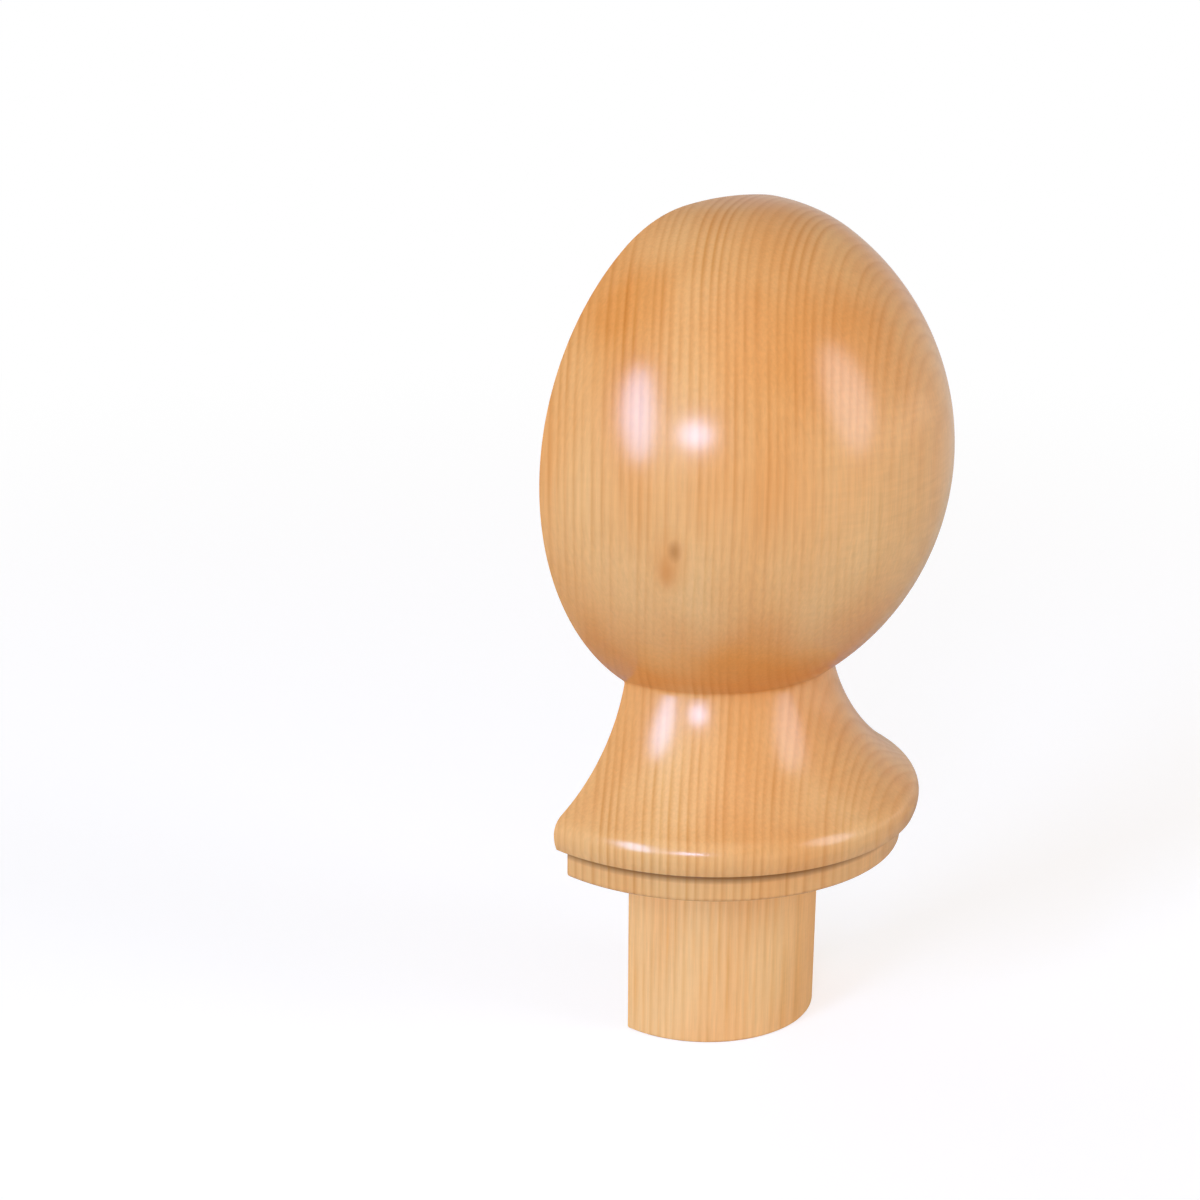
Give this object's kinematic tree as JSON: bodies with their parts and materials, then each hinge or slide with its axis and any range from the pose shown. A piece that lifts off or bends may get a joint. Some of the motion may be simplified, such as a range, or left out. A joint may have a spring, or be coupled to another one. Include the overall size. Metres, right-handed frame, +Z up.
{
  "type": "half newel post cap",
  "caption": "Turned ball cap on a moulded collar with a round spigot below, sawn in half down its axis to stand against a wall.",
  "frame": {"origin": "on the sawn back, at the height of the shoulder that sits on the newel, midway across; the turning axis is 1 mm behind it", "axes": "+Z up along the turning axis, towards the crown; +Y out of the sawn back, towards the wall; the turned side faces -Y"},
  "size_m": [0.0738, 0.0359, 0.132],
  "materials": {
    "lacquered_pine": "clear satin lacquer over sanded, turned pine; bare wood on the spigot and the sawn back"
  },
  "bodies": {
    "root": {"newel_cap": "lacquered_pine"}
  },
  "joints": []
}
